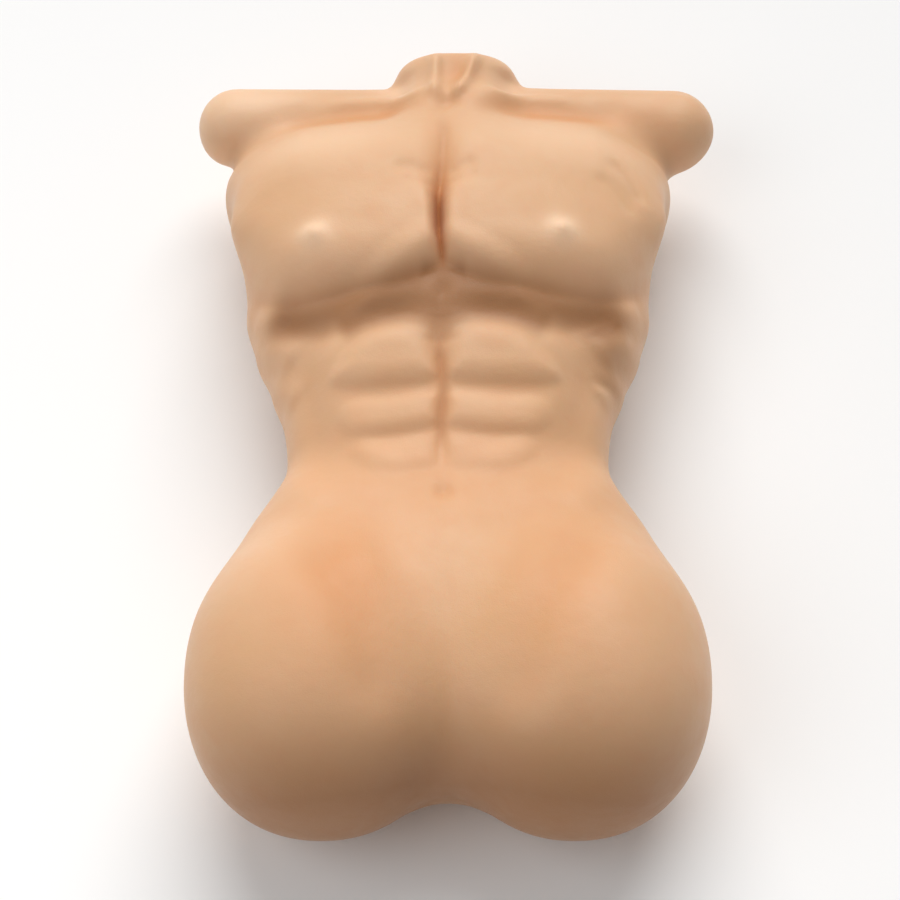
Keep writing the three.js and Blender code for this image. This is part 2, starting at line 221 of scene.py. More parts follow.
def stroke(flat, points, width, height, fade=0.25):
    """A ridge, or a groove where height is below zero, along a line; fade is its ends' share."""
    line = curve(points)
    raised = np.zeros(len(flat))
    inside = window(flat, line, STROKE_REACH * width)
    flat = flat[inside]
    lengths = np.linalg.norm(np.diff(line, axis=0), axis=1)
    starts = np.concatenate([[0], np.cumsum(lengths)])
    nearest = np.full(len(flat), np.inf)
    along = np.zeros(len(flat))
    for a, b, length, start in zip(line, line[1:], lengths, starts):
        t = np.clip((flat - a) @ (b - a) / length ** 2, 0.0, 1.0)
        gap = ((flat - a - t[:, None] * (b - a)) ** 2).sum(1)
        closer = gap < nearest
        nearest[closer] = gap[closer]
        along[closer] = (start + t * length)[closer] / starts[-1]
    strength = step(along, 0, fade) * step(1 - along, 0, fade)
    raised[inside] = height * strength * np.exp(-nearest / width ** 2)
    return raised


def spot(flat, centre, radii, height):
    """A round swelling, or a hollow where height is below zero."""
    return height * np.exp(-(((flat - np.array(centre, float)) / np.array(radii, float)) ** 2).sum(1))


def depth_inside(flat, outline, margin=12.0):
    """How far each place lies inside a smooth closed outline; below 0 outside it."""
    corners = curve(outline + outline[:1], 3)
    near = window(flat, corners, margin)
    flat = flat[near]
    nearest = np.full(len(flat), np.inf)
    crossings = np.zeros(len(flat), int)
    for a, b in zip(corners, corners[1:]):
        side = b - a
        t = np.clip((flat - a) @ side / (side @ side + 1e-9), 0.0, 1.0)
        nearest = np.minimum(nearest, ((flat - a - t[:, None] * side) ** 2).sum(1))
        spans = (a[1] > flat[:, 1]) != (b[1] > flat[:, 1])
        reach = a[0] + (flat[:, 1] - a[1]) * side[0] / (side[1] if side[1] else 1e-9)
        crossings += spans & (flat[:, 0] < reach)
    depth = np.full(len(near), -margin)
    depth[near] = np.sqrt(nearest) * np.where(crossings % 2, 1, -1)
    return depth


def pillow(depth, height, edge, fullness=2.6, fillet=2.5):
    """A swelling, full at a depth of edge millimetres, with a rounded foot."""
    share = np.clip(depth / edge, -1.0, 1.0)
    return -smooth_union(-height * (1 - (1 - share) ** fullness), 0.0, fillet)


# ---- the body's big forms ----

def trunk(p):
    """The loft through the TRUNK cross-sections, closed at its two ends."""
    places, sizes = TRUNK[:, 0], TRUNK[:, 1:]
    slopes = np.gradient(sizes, places, axis=0)
    y = np.clip(p[:, 1], places[0], places[-1])
    i = np.clip(np.searchsorted(places, y) - 1, 0, len(places) - 2)
    span = (places[i + 1] - places[i])[:, None]
    t = (y - places[i])[:, None] / span
    size = (
        (2 * t**3 - 3 * t**2 + 1) * sizes[i]
        + (t**3 - 2 * t**2 + t) * span * slopes[i]
        + (3 * t**2 - 2 * t**3) * sizes[i + 1]
        + (t**3 - t**2) * span * slopes[i + 1]
    )
    half, back, front = size.T
    offsets = np.stack([p[:, 0], p[:, 2] - (back + front) / 2], 1)
    round_it = superellipse(offsets, np.stack([half, (front - back) / 2], 1), TRUNK_POWER)
    middle, reach = (places[0] + places[-1]) / 2, (places[-1] - places[0]) / 2
    return smooth_cut(round_it, np.abs(p[:, 1] - middle) - reach, TRUNK_RIM)


def neck(p):
    """An oval stub that widens at its foot and is cut square, with a rounded rim."""
    widen = 1 + NECK["flare"] * step(-p[:, 1], NECK["straight"] - TOP, NECK["foot"] - TOP)
    offsets = np.stack([p[:, 0], p[:, 2] - NECK["z"]], 1) / widen[:, None]
    round_it = superellipse(offsets, np.array([NECK["half"], NECK["depth"]]), NECK["power"])
    long = smooth_cut(round_it, TOP - NECK["length"] - p[:, 1], NECK["root"])
    return smooth_cut(long, p[:, 1] - TOP, NECK["rim"])


def big_forms(p):
    """Trunk, shoulders, seat, thigh stubs, crotch and neck."""
    upper = step(p[:, 1], UPPER_FROM, UPPER_FULL)
    p = p - np.outer(upper, [UPPER_SHIFT, 0, 0])
    folded = np.stack([np.hypot(p[:, 0], MEET), p[:, 1], p[:, 2]], 1)
    d = trunk(p)
    for side, tip, y, radius in SHOULDERS:
        end = (side * (tip - radius), y, SHOULDER_Z)
        d = smooth_union(d, limb(p, (0, SHOULDER_Y, SHOULDER_Z), end, radius), SHOULDER_BLEND)
    for places, (centre, radii, power, blend) in ((folded, SEAT), (folded, THIGH), (p, CROTCH)):
        d = smooth_union(d, mass(places, centre, radii, power), blend)
    return smooth_union(d, neck(p), NECK_BLEND)


# ---- the body's relief, raised and sunk along the surface ----

# Outlines on the +X side, as places (x, y). They run on past the middle line and the collar.
PEC_OUTLINE = [
    (-60, 84), (-20, 80), (0, 77), (10, 72), (24, 67), (44, 64), (66, 63), (86, 63), (104, 67),
    (118, 76), (130, 90), (145, 104), (190, 120), (190, 290), (0, 290), (-60, 290), (-60, 180),
]
PEC_HEIGHT, PEC_EDGE = 19.0, 36  # the chest's height, and how far in from its lower edge that is reached
PEC_UPPER = (112, 160)  # where along Y the lower chest gives way to the upper
PEC_FADE = (148, 221)  # where it thins out toward the collar
PEC_SLANT_FROM, PEC_SLANT = 95, 0.5  # beyond this x it thins out lower down
CLEFT_LOW, CLEFT_MORE = 9, 17  # half width of the cleft below, and how much more above
CLEFT_FULLNESS, CLEFT_FILL = 2.4, 0.6  # how round its sides are, and how much of it is filled above
PEC_UPPER_DROP = 0.15  # share of its height that the upper chest loses

STOMACH_OUTLINE = [
    (-60, 110), (0, 110), (44, 84), (70, 56), (84, 26), (85, -4), (80, -36), (68, -72),
    (50, -110), (26, -140), (0, -150), (-60, -150),
]
STOMACH_HEIGHT = 5.0
STOMACH_EDGE, STOMACH_EDGE_MORE = 20, 50  # its edge's rounding above, and how much more far down
STOMACH_SOFTEST = (0, 100)  # how far down that starts and is whole
STOMACH_FADE = (-110, -20)
BLOCKS = [  # the stomach's blocks, from the top down: outline, height, rounding
    ([(3, 53), (5, 66), (24, 66), (44, 61), (52, 54), (28, 51)], 1.2, 9),
    ([(2, 16), (5, 31), (18, 38), (38, 38), (56, 31), (68, 17), (71, 6), (60, 0), (34, -2), (4, 1)], 6.2, 15),
    ([(1, -18), (4, -6), (34, -8), (58, -7), (66, -17), (58, -30), (34, -33), (4, -29)], 4.2, 11),
    ([(2, -44), (5, -34), (32, -37), (52, -36), (56, -45), (44, -56), (28, -59), (5, -56)], 2.4, 11),
]
BLOCK_FULLNESS, BLOCK_FILLET = 2.0, 1.5
# The blocks below the top pair flatten by this share toward their outer ends.
BLOCK_FADE, BLOCK_ENDS, BLOCKS_BELOW = 0.6, (44, 72), (0, 20)
LEAN = 0.4  # how much lower each block is at its upper edge than at its lower one

# Front strokes on both sides: points (x, y) as measured from the middle line, width, height.
FRONT_STROKES = [
    ([(0, 70), (0, 40), (0, 20)], 6.0, -1.4),  # midline of the stomach
    ([(0, 30), (0, 0), (0, -30), (0, -60)], 3.2, -1.6),
    ([(2, 51), (24, 49), (46, 46), (66, 41), (84, 46), (100, 55), (116, 66)], 9.0, -3.6),  # above the blocks
    ([(124, 66), (112, 61), (98, 54)], 9.0, 2.8),  # ribs and the muscle over them
    ([(120, 42), (106, 37), (92, 27)], 9.0, 3.2),
    ([(112, 18), (101, 12), (90, 3)], 9.0, 2.8),
    ([(112, -34), (98, -50), (84, -70), (70, -92)], 14.0, 2.6),  # crest of the hip
    ([(90, -104), (70, -132), (52, -162), (42, -198), (40, -236)], 17.0, -4.5),  # groin
    ([(14, 214), (50, 215), (85, 217), (122, 221)], 11.5, -5.0),  # hollow under the collarbone
    ([(9, 227), (45, 230), (88, 231)], 5.0, 2.0),  # collarbone
]
FRONT_SPOTS = [
    ((97, -14), (14, 18), 2.2),  # flank
    ((0, 214), (8, 9), -3.0),  # notch of the throat
    ((0, -76), (5, 6.5), -2.6),  # navel
]
# Swellings on the flanks, which show in the outline: centre, radii, height.
SIDE_SPOTS = [
    ((126, 70, 74), (20, 13, 24), 2.6),
    ((120, 42, 72), (20, 11, 24), 2.8),
    ((112, 16, 70), (20, 11, 22), 2.6),
]
# Strokes on one side only.
ONE_SIDED = [
    ([(-9, 216), (-9, 240), (-8, 266)], 4.2, 4.5),  # tendons of the neck
    ([(3, 214), (12, 238), (20, 266)], 3.8, 5.0),
    ([(-30, 224), (-31, 256)], 9.0, -3.0),  # hollows beside them
    ([(38, 228), (38, 256)], 9.0, -3.0),
    ([(-38, 147), (-24, 145), (-8, 140)], 4.6, -1.7),  # folds beside the cleft
    ([(-30, 136), (-18, 134), (-8, 130)], 4.2, -1.2),
    ([(-1, 141), (8, 146), (19, 152)], 4.4, -1.7),
    ([(0, 131), (9, 136), (20, 143)], 4.4, -1.3),
    ([(100, 166), (114, 152), (124, 130)], 5.0, -2.2),  # folds by the armpit
    ([(90, 148), (106, 138), (118, 118)], 4.6, -1.4),
    ([(86, 13), (99, 13), (112, 7)], 4.0, -1.8),  # crease of the flank
]
NIPPLES = [(-83, 96), (71, 97)]
NIPPLE_FORMS = [((7.0, 6.5), 3.4), ((15, 15), 1.4)]  # radii and height

BACK_STROKES = [
    ([(0, 215), (0, 120), (0, 0), (0, -90)], 8.0, -5.0),  # spine
    ([(38, 190), (46, 150), (60, 122), (84, 118)], 9.0, 3.0),  # shoulder blade
    ([(0, -112), (0, -150), (0, -205)], 10.0, -4.0),  # between the two sides of the seat
    ([(20, -60), (50, -74), (92, -70)], 16.0, -3.0),  # loins
]


def chest_relief(x, level):
    """The two chest muscles, which fade out under the collar and meet in a cleft."""
    low = pillow(depth_inside(np.stack([x, level], 1), PEC_OUTLINE), PEC_HEIGHT, PEC_EDGE)
    upper = step(level, *PEC_UPPER)
    inner = 1 - (1 - np.clip(x / (CLEFT_LOW + CLEFT_MORE * upper), 0, 1)) ** CLEFT_FULLNESS
    fade = 1 - step(level + PEC_SLANT * np.maximum(x - PEC_SLANT_FROM, 0), *PEC_FADE)
    inner += (1 - inner) * CLEFT_FILL * upper
    return low * inner * fade * (1 - PEC_UPPER_DROP * upper)


def on_body(flat):
    """Places measured from the wandering middle line: distance from it and height along it."""
    x, y = flat.T
    wander = np.interp(y, *zip(*MIDLINE)) * np.exp(-(x / WANDER_REACH) ** 2)
    return np.stack([np.abs(x - wander), y - TILT * x], 1)


def front_relief(flat):
    """The chest, stomach, ribs, hips, collar and throat."""
    both = on_body(flat)
    level = both[:, 1]
    up = chest_relief(*both.T)
    edge = STOMACH_EDGE + STOMACH_EDGE_MORE * step(-level, *STOMACH_SOFTEST)
    flat_top = step(depth_inside(both, STOMACH_OUTLINE), 0, edge)
    up += STOMACH_HEIGHT * flat_top * step(level, *STOMACH_FADE)
    ends = 1 - BLOCK_FADE * step(both[:, 0], *BLOCK_ENDS) * step(-level, *BLOCKS_BELOW)
    for outline, height, rounding in BLOCKS:
        low, high = min(y for _, y in outline), max(y for _, y in outline)
        lean = 1 - LEAN * np.clip((level - low) / (high - low), 0, 1)
        swell = pillow(depth_inside(both, outline), height, rounding, BLOCK_FULLNESS, BLOCK_FILLET)
        up += swell * ends * lean
    for points, width, height in FRONT_STROKES:
        up += stroke(both, points, width, height)
    for points, width, height in ONE_SIDED:
        up += stroke(flat, points, width, height)
    for centre, radii, height in FRONT_SPOTS:
        up += spot(both, centre, radii, height)
    for centre in NIPPLES:
        up += sum(spot(flat, centre, radii, height) for radii, height in NIPPLE_FORMS)
    return up


def back_relief(flat):
    """The spine, shoulder blades, loins and seat."""
    both = mirrored(flat)
    return sum(stroke(both, points, width, height) for points, width, height in BACK_STROKES)


MAP_LOW = np.array([-TIP, BOTTOM]) - MAP_MARGIN
MAP_COUNTS = np.ceil((np.array([TIP, TOP]) + MAP_MARGIN - MAP_LOW) / MAP_STEP).astype(int) + 1


def relief_map(height_at):
    """A height over X and Y, worked out once on a fine grid and smoothed."""
    places = [low + MAP_STEP * np.arange(count) for low, count in zip(MAP_LOW, MAP_COUNTS)]
    flat = np.stack(np.meshgrid(*places, indexing="ij"), -1).reshape(-1, 2)
    return smoothed(height_at(flat).reshape(MAP_COUNTS), SOFTNESS)


def smoothed(heights, width):
    """A map blurred over a width in millimetres."""
    reach = math.ceil(3 * width / MAP_STEP)
    shifts = np.arange(-reach, reach + 1)
    weights = np.exp(-0.5 * (shifts * MAP_STEP / width) ** 2)
    for axis in (0, 1):
        heights = sum(w * np.roll(heights, n, axis) for n, w in zip(shifts, weights / weights.sum()))
    return heights


def read_map(heights, x, y):
    """A map's height between its grid points, all held just inside the last ones."""
    u = np.clip((x - MAP_LOW[0]) / MAP_STEP, 0, MAP_COUNTS[0] - 1.01)
    v = np.clip((y - MAP_LOW[1]) / MAP_STEP, 0, MAP_COUNTS[1] - 1.01)
    i, j = u.astype(int), v.astype(int)
    s, t = u - i, v - j
    near = heights[i, j] * (1 - t) + heights[i, j + 1] * t
    far = heights[i + 1, j] * (1 - t) + heights[i + 1, j + 1] * t
    return near * (1 - s) + far * s


FRONT_MAP = relief_map(front_relief)
BACK_MAP = relief_map(back_relief)


def relief(p):
    """How far the fine forms raise the surface."""
    x, y, z = p.T
    front = read_map(FRONT_MAP, x, y) * step(z, FRONT_FROM, FRONT_FULL)
    back = read_map(BACK_MAP, x, y) * step(-z, -BACK_TO, -BACK_FULL)
    return front + back + sum(spot(mirrored(p), *swelling) for swelling in SIDE_SPOTS)


def plug_hole(p):
    """The bore in the neck's end that the plug sits in."""
    centre = (plug_low + plug_high) / 2 / MM
    radius = (plug_high.x - plug_low.x) / 2 / MM + PLUG_GAP
    round_it = np.hypot(p[:, 0] - centre.x, p[:, 2] - centre.z) - radius
    return np.maximum(round_it, plug_low.y / MM - PLUG_GAP - p[:, 1])


def body(p, raised=None):
    """The whole skin: the big forms raised by their relief, flattened where it lies.

    raised gives the relief when it is already known.
    """
    d = big_forms(p) - (relief(p) if raised is None else raised)
    d = smooth_cut(d, -plug_hole(p), PLUG_RIM)
    return smooth_cut(d, -p[:, 2], CONTACT)


# ---- meshing ----

def grid_places(low, high, table):
    """Places from low to past high, with the step that the table gives at each."""
    at, steps = zip(*table)
    places = [low]
    while places[-1] < high:
        places.append(places[-1] + COARSE * np.interp(places[-1], at, steps))
    return np.array(places)


def skin_mesh():
    """The field's zero surface as a mesh object, with its points settled onto the field."""
    low = np.array([-TIP, BOTTOM, 0.0]) - NEAR
    high = np.array([TIP, TOP, FRONT]) + NEAR
    places = [grid_places(*span) for span in zip(low, high, (STEPS_X, STEPS_Y, STEPS_Z))]
    counts = [len(at) for at in places]
    points = np.stack(np.meshgrid(*places, indexing="ij"), -1).reshape(-1, 3)
    values = np.concatenate([body(part) for part in np.array_split(points, BATCHES)])
    values = np.clip(values, -NEAR, NEAR).reshape(counts)
    grid = openvdb.FloatGrid(background=NEAR)
    grid.copyFromArray(np.ascontiguousarray(values, np.float32), tolerance=0.0)
    corners, quads = grid.convertToQuads(isovalue=0.0)
    spans = [np.interp(corners[:, i], np.arange(counts[i]), places[i]) for i in range(3)]
    corners = np.stack(spans, 1)
    for _ in range(SETTLE_TURNS):
        corners = settle(corners)
    mesh = bpy.data.meshes.new("skin")
    mesh.from_pydata((corners * MM).tolist(), [], quads[:, ::-1].tolist())
    mesh.validate()
    mesh.polygons.foreach_set("use_smooth", [True] * len(mesh.polygons))
    for name, values in tints(corners).items():
        mesh.attributes.new(name, "FLOAT", "POINT").data.foreach_set("value", values)
    skin = bpy.data.objects.new("moulded_skin", mesh)
    bpy.context.scene.collection.objects.link(skin)
    return skin


def settle(points):
    """Moves points onto the field's zero surface, square to the big forms."""
    raised = relief(points)
    start = body(points, raised)
    away = np.stack([body(points + SETTLE_REACH * axis, raised) - start for axis in np.eye(3)], 1)
    away /= np.maximum(np.linalg.norm(away, axis=1), 1e-6)[:, None]
    slope = (body(points + SETTLE_REACH * away) - start) / SETTLE_REACH
    return points - (start / np.maximum(slope, LEAST_SLOPE))[:, None] * away


# ---- painted shade and highlights ----

# Warm painted shade, darker and more orange, in the groin, the collar's hollows, between the neck's tendons,
# down the cleft and the stomach's middle line, and over the lower belly: centre, radii and strength.
WARM_PAINTED_SHADE = [
    ((-60, -150, 130), (36, 50, 50), 1.2),
    ((64, -150, 130), (34, 50, 50), 0.8),
    ((0, -70, 110), (120, 44, 60), 0.45),
    ((-56, 214, 100), (52, 10, 20), 0.8),
    ((72, 216, 100), (55, 10, 20), 0.8),
    ((6, 244, 105), (7, 16, 14), 0.9),
    ((-5, 150, 130), (12, 50, 30), 0.6),
    ((-5, 16, 110), (7, 60, 20), 0.5),
]
# Painted highlights: pale areas on the upper chest, the nipples, the left hip, the left shoulder and beside
# the neck.
PAINTED_HIGHLIGHTS = [
    ((-75, 176, 120), (60, 24, 40), 0.6),
    ((75, 179, 120), (55, 24, 40), 0.5),
    *(((x, y, 140), (11, 10, 14), 1.3) for x, y in NIPPLES),
    ((-90, -110, 110), (60, 44, 60), 0.4),
    ((-138, 232, 84), (44, 24, 40), 0.9),
    ((-31, 246, 105), (14, 14, 24), 0.9),
    ((38, 248, 105), (14, 14, 24), 0.6),
]
# Painted shade, dark on the thigh stubs' ends and sides.
PAINTED_SHADE_SPOTS = [
    ((-78, -266, 66), (100, 50, 84), 1.2),
    ((78, -266, 66), (100, 50, 84), 1.2),
]
# Painted shade strokes on the front, along and under the chest, and then one down the ribs on one side.
PAINTED_SHADE_STROKES = [
    ([(-20, 66), (0, 66), (30, 60), (64, 54), (94, 54), (116, 64)], 12.0, 1.0),
    ([(-14, 68), (0, 68), (14, 67)], 8.0, 0.6),
    ([(-14, 50), (0, 50), (24, 48), (46, 45), (66, 36)], 9.0, 0.7),
    ([(0, 66), (0, 48), (0, 24)], 14.0, 0.6),
]
PAINTED_SHADE_RIGHT = ([(92, 50), (100, 34), (100, 10)], 15.0, 0.6)
PAINTED_SHADE_FADE, SLIT_SHADE_FADE = 0.1, 0.2  # share of a stroke's length over which its ends fade
# Painted shade on the floor of the cleft, soft above and dark below, and on the stomach's middle line.
SLIT_SHADE_STROKES = [
    ([(0, 200), (0, 165), (0, 122)], 3.0, 0.12),
    ([(0, 134), (0, 110), (0, 84), (0, 71)], 1.7, 0.85),
    ([(0, 36), (0, 6), (0, -24), (0, -44)], 2.4, 0.3),
]


def painted_shade_front(flat):
    """The painted shade strokes over X and Y."""
    both = on_body(flat)
    shade = sum(stroke(both, *shape, PAINTED_SHADE_FADE) for shape in PAINTED_SHADE_STROKES)
    return shade + stroke(flat, *PAINTED_SHADE_RIGHT, PAINTED_SHADE_FADE)


def slit_shade_front(flat):
    """The painted shade on the floors of the cleft and the stomach's middle line, over X and Y."""
    both = on_body(flat)
    return sum(stroke(both, *shape, SLIT_SHADE_FADE) for shape in SLIT_SHADE_STROKES)


PAINTED_SHADE_MAP = relief_map(painted_shade_front)
SLIT_SHADE_MAP = relief_map(slit_shade_front)
SHADE_FROM, SHADE_FULL = 60, 100  # where along Z the front's painted shade and highlights start and are whole
NARROW, BROAD = 2.4, 8.0  # blurs that find narrow creases and broad folds, for the painted shade and highlights
CREASE_DEPTH, CREASE_LEAST = 2.6, 0.14  # the depth that makes a crease's painted shade whole, and the share that is too faint
FOLD_DEPTH = 5.0  # the same for a fold
SLIT_SHADE_GAIN = 1.5
BEND_REACH, BEND_GAIN = 6.0, 5.0  # for the painted shade in the hollows between the big forms
GROUND = 8  # no such painted shade below this height


def sunk(heights, width):
    """How far a map lies below its surroundings, which are as wide as the blur."""
    return smoothed(heights, width) - heights


def tints(points):
    """Attributes for the colour's painted shade and painted highlights, each from 0 to 1."""
    x, y, z = points.T
    around = sum(big_forms(points + side * BEND_REACH * axis) for axis in np.eye(3) for side in (-1, 1))
    bend = (around - 6 * big_forms(points)) / BEND_REACH ** 2
    front, back = step(z, SHADE_FROM, SHADE_FULL), step(-z, -BACK_TO, -BACK_FULL)
    fold = read_map(sunk(FRONT_MAP, BROAD), x, y) * front + read_map(sunk(BACK_MAP, BROAD), x, y) * back
    fold /= FOLD_DEPTH
    # Painted shade in narrow creases, on the floors of the cleft and the stomach's middle line, in broad
    # folds, between the big forms, in warm areas and dark ones; painted highlights on the raised forms and in
    # pale areas.
    values = {
        "crease": read_map(sunk(FRONT_MAP, NARROW), x, y) * front / CREASE_DEPTH - CREASE_LEAST,
        "slit_shade": read_map(SLIT_SHADE_MAP, x, y) * front * SLIT_SHADE_GAIN,
        "hollow": np.maximum(fold, np.where(z > GROUND, -bend * BEND_GAIN, 0)),
        "full": -fold,
        "warm_shade": sum(spot(points, *area) for area in WARM_PAINTED_SHADE),
        "pale": sum(spot(points, *area) for area in PAINTED_HIGHLIGHTS),
        "painted_shade": sum(spot(points, *area) for area in PAINTED_SHADE_SPOTS) + read_map(PAINTED_SHADE_MAP, x, y) * front,
    }
    return {name: np.clip(value, 0, 1) for name, value in values.items()}


# ---- stage ----

def make_camera():
    """A long lens, from the feet and well above them."""
    data = bpy.data.cameras.new("camera")
    data.lens, data.sensor_width = CAMERA_LENS, CAMERA_SENSOR
    data.clip_end = CAMERA_FAR
    camera = bpy.data.objects.new("camera", data)
    bpy.context.scene.collection.objects.link(camera)
    rise = math.radians(CAMERA_RISE)
    back = Vector((0, -math.cos(rise), math.sin(rise)))
    camera.location = CAMERA_TARGET + back * CAMERA_DISTANCE
    camera.rotation_euler = (-back).to_track_quat("-Z", "Y").to_euler()
    data.shift_x = CAMERA_SHIFT
    bpy.context.scene.camera = camera


def make_light(name, kind, place, power, colour):
    """A light that looks at the middle of the object from some place."""
    data = bpy.data.lights.new(name, kind)
    data.energy, data.color = power, colour
    light = bpy.data.objects.new(name, data)
    light.location = place
    light.rotation_euler = (-Vector(place)).to_track_quat("-Z", "Y").to_euler()
    bpy.context.scene.collection.objects.link(light)
    return data


def make_stage():
    """A plain pale floor, a soft key from above the head, a weak fill and an even sky."""
    bpy.ops.mesh.primitive_plane_add(size=FLOOR_SIZE, location=(0, 0, cad_low.z - FLOOR_GAP))
    floor = bpy.context.object
    floor.name = "floor"
    paint, shader = new_material("floor")
    shader.inputs["Base Color"].default_value = (0.95, 0.95, 0.95, 1)
    shader.inputs["Roughness"].default_value = 0.9
    floor.data.materials.append(paint)
    world = bpy.data.worlds.new("studio")
    world.use_nodes = True
    background = world.node_tree.nodes["Background"]
    background.inputs["Color"].default_value = (1, 1, 1, 1)
    background.inputs["Strength"].default_value = SKY
    bpy.context.scene.world = world
    key = make_light("key", "SUN", *KEY)
    key.angle = math.radians(KEY_SPREAD)
    fill = make_light("fill", "AREA", *FILL)
    fill.shape, fill.size = "DISK", FILL_SIZE
    bpy.context.scene.view_settings.view_transform = "Standard"


# ---- materials ----

# The skin's two base colours and its mottling, then the painted highlights and painted shade laid over them
# in turn:
# mesh attribute, strength and colour.
SKIN, SKIN_OTHER, SKIN_MOTTLE = (224, 179, 140), (218, 171, 128), (222, 167, 129)
SKIN_TINTS = [
    # The first two are painted highlights, the other five painted shade.
    ("pale", 0.7, (248, 212, 178)),
    ("full", 0.3, (240, 200, 164)),
    ("warm_shade", 0.65, (214, 142, 84)),
    ("hollow", 0.5, (200, 136, 88)),
    ("painted_shade", 0.78, (148, 96, 52)),
    ("crease", 0.6, (212, 138, 78)),
    ("slit_shade", 0.85, (146, 82, 40)),
]
PLUG = ((222, 170, 128), (206, 150, 106))
FOAM, FOAM_STREAK = ((243, 238, 222), (226, 217, 194)), (214, 202, 172)
TUBE = ((178, 180, 182), (150, 152, 155))
PLATE = ((160, 162, 165), (122, 120, 118))
ZINC = ((214, 216, 214), (186, 190, 196))
NYLON = ((26, 26, 28), (40, 40, 43))
ALONG_X, ALONG_Y, EVEN = (0.03, 1, 1), (1, 0.03, 1), (1, 1, 1)  # how metal's grain is drawn out


def srgb(colour):
    """A colour in levels of 255, as a person reads it, in linear light."""
    shares = [level / 255 for level in colour]
    linear = [s / 12.92 if s < 0.04045 else ((s + 0.055) / 1.055) ** 2.4 for s in shares]
    return (*linear, 1)


def new_material(name):
    """A material and its main shader."""
    material = bpy.data.materials.new(name)
    material.use_nodes = True
    return material, material.node_tree.nodes["Principled BSDF"]


def add(tree, kind, links=(), **settings):
    """A shader node; links are (input, socket) pairs, and settings are properties or input values."""
    node = tree.nodes.new(kind)
    for key, value in settings.items():
        if hasattr(node, key):
            setattr(node, key, value)
        else:
            node.inputs[key.replace("_", " ")].default_value = value
    for name, socket in links:
        tree.links.new(socket, node.inputs[name])
    return node


def noise(tree, scale, detail=2.0, rough=0.5, stretch=(1, 1, 1)):
    """Smooth noise in the object's own space, in features per metre; stretch below 1 draws it out."""
    place = add(tree, "ShaderNodeTexCoord").outputs["Object"]
    place = add(tree, "ShaderNodeMapping", [("Vector", place)], Scale=stretch).outputs["Vector"]
    return add(tree, "ShaderNodeTexNoise", [("Vector", place)], Scale=scale, Detail=detail, Roughness=rough)


def spread(tree, socket, low, high, start, end):
    """Maps start to low and end to high, and holds them beyond."""
    links = [("Value", socket)]
    node = add(tree, "ShaderNodeMapRange", links, From_Min=start, From_Max=end, To_Min=low, To_Max=high)
    return node.outputs["Result"]


def mix(tree, share, first, second):
    """A colour between two; each may be a colour in levels of 255 or a socket."""
    node = add(tree, "ShaderNodeMix", data_type="RGBA")
    tree.links.new(share, node.inputs["Factor"])
    for name, value in (("A", first), ("B", second)):
        socket = next(i for i in node.inputs if i.name == name and i.type == "RGBA")
        if isinstance(value, bpy.types.NodeSocket):
            tree.links.new(value, socket)
        else:
            socket.default_value = srgb(value)
    return next(o for o in node.outputs if o.type == "RGBA")


def attribute(tree, name, strength):
    """A mesh attribute, from 0 to strength."""
    value = add(tree, "ShaderNodeAttribute", attribute_name=name).outputs["Fac"]
    return spread(tree, value, 0.0, strength, 0.0, 1.0)


def bump(tree, shader, layers):
    """Stacks bumps on a shader: layers are (height socket, depth in metres)."""
    normal = None
    for height, depth in layers:
        links = [("Height", height)] + ([("Normal", normal)] if normal else [])
        normal = add(tree, "ShaderNodeBump", links, Strength=1.0, Distance=depth).outputs["Normal"]
    tree.links.new(normal, shader.inputs["Normal"])


def skin_material():
    """Soft pigmented elastomer: mottled, with painted shade in its folds and painted highlights on its raised
    forms, faintly pored and a little oily.
    """
    material, shader = new_material("elastomer_skin")
    tree = material.node_tree
    clouds = noise(tree, 9, 3.0).outputs["Fac"]
    colour = mix(tree, spread(tree, clouds, 0, 1, 0.35, 0.65), SKIN, SKIN_OTHER)
    mottle = noise(tree, 55, 4.0, 0.6).outputs["Fac"]
    colour = mix(tree, spread(tree, mottle, 0, 0.35, 0.45, 0.75), colour, SKIN_MOTTLE)
    # Painted highlights and painted shade, laid over the base colour.
    for name, strength, tint in SKIN_TINTS:
        colour = mix(tree, attribute(tree, name, strength), colour, tint)
    tree.links.new(colour, shader.inputs["Base Color"])
    shine = spread(tree, mottle, 0.44, 0.58, 0.3, 0.7)
    dull = attribute(tree, "slit_shade", 0.5)
    rough = add(tree, "ShaderNodeMath", [(0, shine), (1, dull)], operation="ADD").outputs["Value"]
    tree.links.new(rough, shader.inputs["Roughness"])
    shader.inputs["Specular IOR Level"].default_value = 0.35
    soften(shader)
    pores = noise(tree, 1400, 2.0).outputs["Fac"]
    ripple = noise(tree, 110, 3.0).outputs["Fac"]
    bump(tree, shader, [(ripple, 0.0003), (pores, 0.0001)])
    return material


def soften(shader):
    """Light that goes a few millimetres into the elastomer, and a faint sheen."""
    shader.inputs["Subsurface Weight"].default_value = 0.2
    shader.inputs["Subsurface Radius"].default_value = (1.0, 0.42, 0.2)
    shader.inputs["Subsurface Scale"].default_value = 0.006
    shader.inputs["Sheen Weight"].default_value = 0.08
    shader.inputs["Sheen Roughness"].default_value = 0.5


def plug_material():
    """The same elastomer, poured later and a little darker."""
    material, shader = new_material("elastomer_plug")
    tree = material.node_tree
    mottle = noise(tree, 90, 4.0, 0.6).outputs["Fac"]
    colour = mix(tree, spread(tree, mottle, 0, 1, 0.35, 0.7), *PLUG)
    tree.links.new(colour, shader.inputs["Base Color"])
    tree.links.new(spread(tree, mottle, 0.45, 0.62, 0.3, 0.7), shader.inputs["Roughness"])
    soften(shader)
    bump(tree, shader, [(noise(tree, 900, 2.0).outputs["Fac"], 0.00012)])
    return material


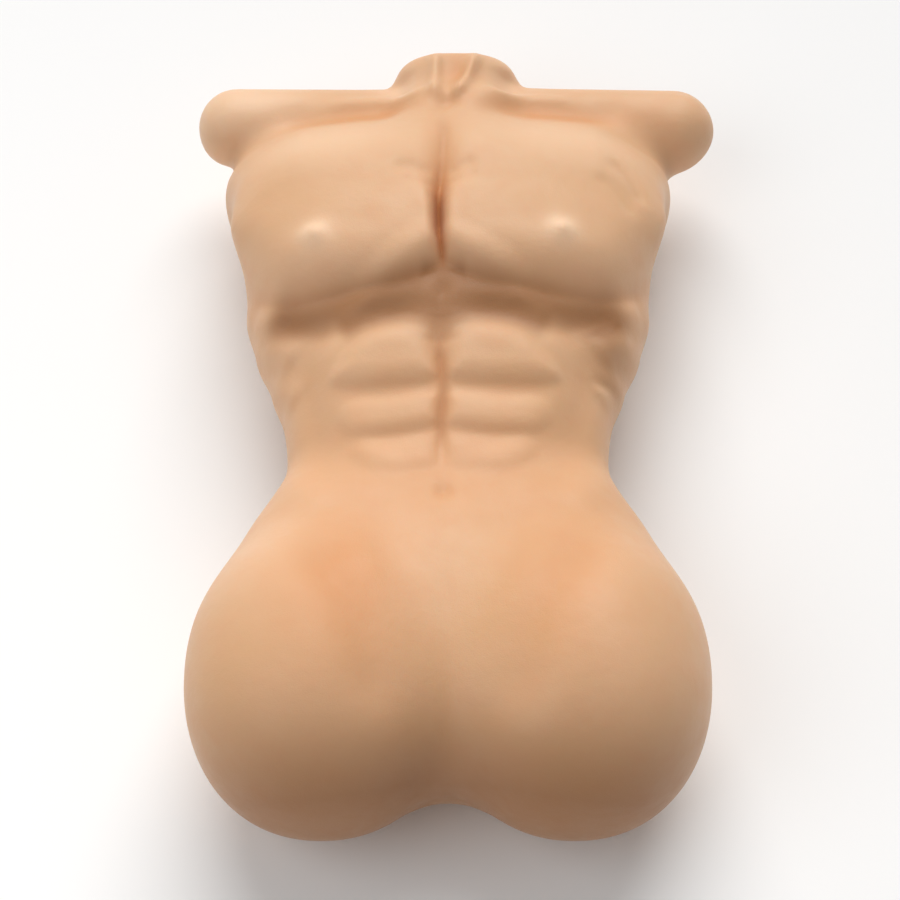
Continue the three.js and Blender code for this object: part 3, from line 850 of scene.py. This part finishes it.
def foam_material():
    """Closed-cell foam: packed cells, and the streaks that a hot wire leaves along its cut."""
    material, shader = new_material("closed_cell_foam")
    tree = material.node_tree
    place = add(tree, "ShaderNodeTexCoord").outputs["Object"]
    cells = add(tree, "ShaderNodeTexVoronoi", [("Vector", place)], Scale=700.0).outputs["Distance"]
    streaks = noise(tree, 60, 3.0, 0.6, stretch=(0.15, 1, 6)).outputs["Fac"]
    colour = mix(tree, spread(tree, cells, 0, 1, 0.1, 0.7), *FOAM)
    colour = mix(tree, spread(tree, streaks, 0, 0.4, 0.45, 0.7), colour, FOAM_STREAK)
    tree.links.new(colour, shader.inputs["Base Color"])
    tree.links.new(spread(tree, streaks, 0.95, 0.7, 0.4, 0.8), shader.inputs["Roughness"])
    bump(tree, shader, [(streaks, 0.0004), (cells, 0.0005)])
    return material


def metal_material(name, colours, grain, rough, depth):
    """Metal with its grain drawn out along one direction, and patches that have dulled."""
    material, shader = new_material(name)
    tree = material.node_tree
    lines = noise(tree, 500, 3.0, 0.6, stretch=grain).outputs["Fac"]
    patches = noise(tree, 45, 4.0, 0.6).outputs["Fac"]
    colour = mix(tree, spread(tree, patches, 0, 1, 0.4, 0.7), *colours)
    tree.links.new(colour, shader.inputs["Base Color"])
    tree.links.new(spread(tree, lines, rough - 0.08, rough + 0.12, 0.3, 0.7), shader.inputs["Roughness"])
    shader.inputs["Metallic"].default_value = 1.0
    bump(tree, shader, [(lines, depth)])
    return material


def nylon_material():
    """Black nylon with the fine spark texture of its mould."""
    material, shader = new_material("moulded_nylon")
    tree = material.node_tree
    grain = noise(tree, 1600, 2.0, 0.6).outputs["Fac"]
    patches = noise(tree, 70, 3.0).outputs["Fac"]
    colour = mix(tree, spread(tree, patches, 0, 1, 0.35, 0.7), *NYLON)
    tree.links.new(colour, shader.inputs["Base Color"])
    tree.links.new(spread(tree, grain, 0.42, 0.62, 0.3, 0.7), shader.inputs["Roughness"])
    bump(tree, shader, [(grain, 0.00008)])
    return material


def dress_frame():
    """Gives every CAD piece the finish of its slot; the bars' grain runs along them."""
    finishes = {
        "elastomer": plug_material(),
        "foam": foam_material(),
        "steel_tube": metal_material("drawn_tube_spine", TUBE, ALONG_Y, 0.3, 0.00004),
        "steel_plate": metal_material("cut_plate", PLATE, ALONG_X, 0.45, 0.00006),
        "zinc_fastener": metal_material("zinc_plate", ZINC, EVEN, 0.34, 0.00003),
        "nylon": nylon_material(),
    }
    bars = metal_material("drawn_tube_bars", TUBE, ALONG_X, 0.3, 0.00004)
    for part in frame["record"]["subparts"]:
        finish = bars if part["node"].endswith("_bar") else finishes[part["material_slot"]]
        node = frame["nodes"][part["node"]]
        node.data.materials.clear()
        node.data.materials.append(finish)


make_camera()
skin = skin_mesh()
skin.data.materials.append(skin_material())
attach(skin, "root")
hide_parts("torso_skin")
dress_frame()
make_stage()
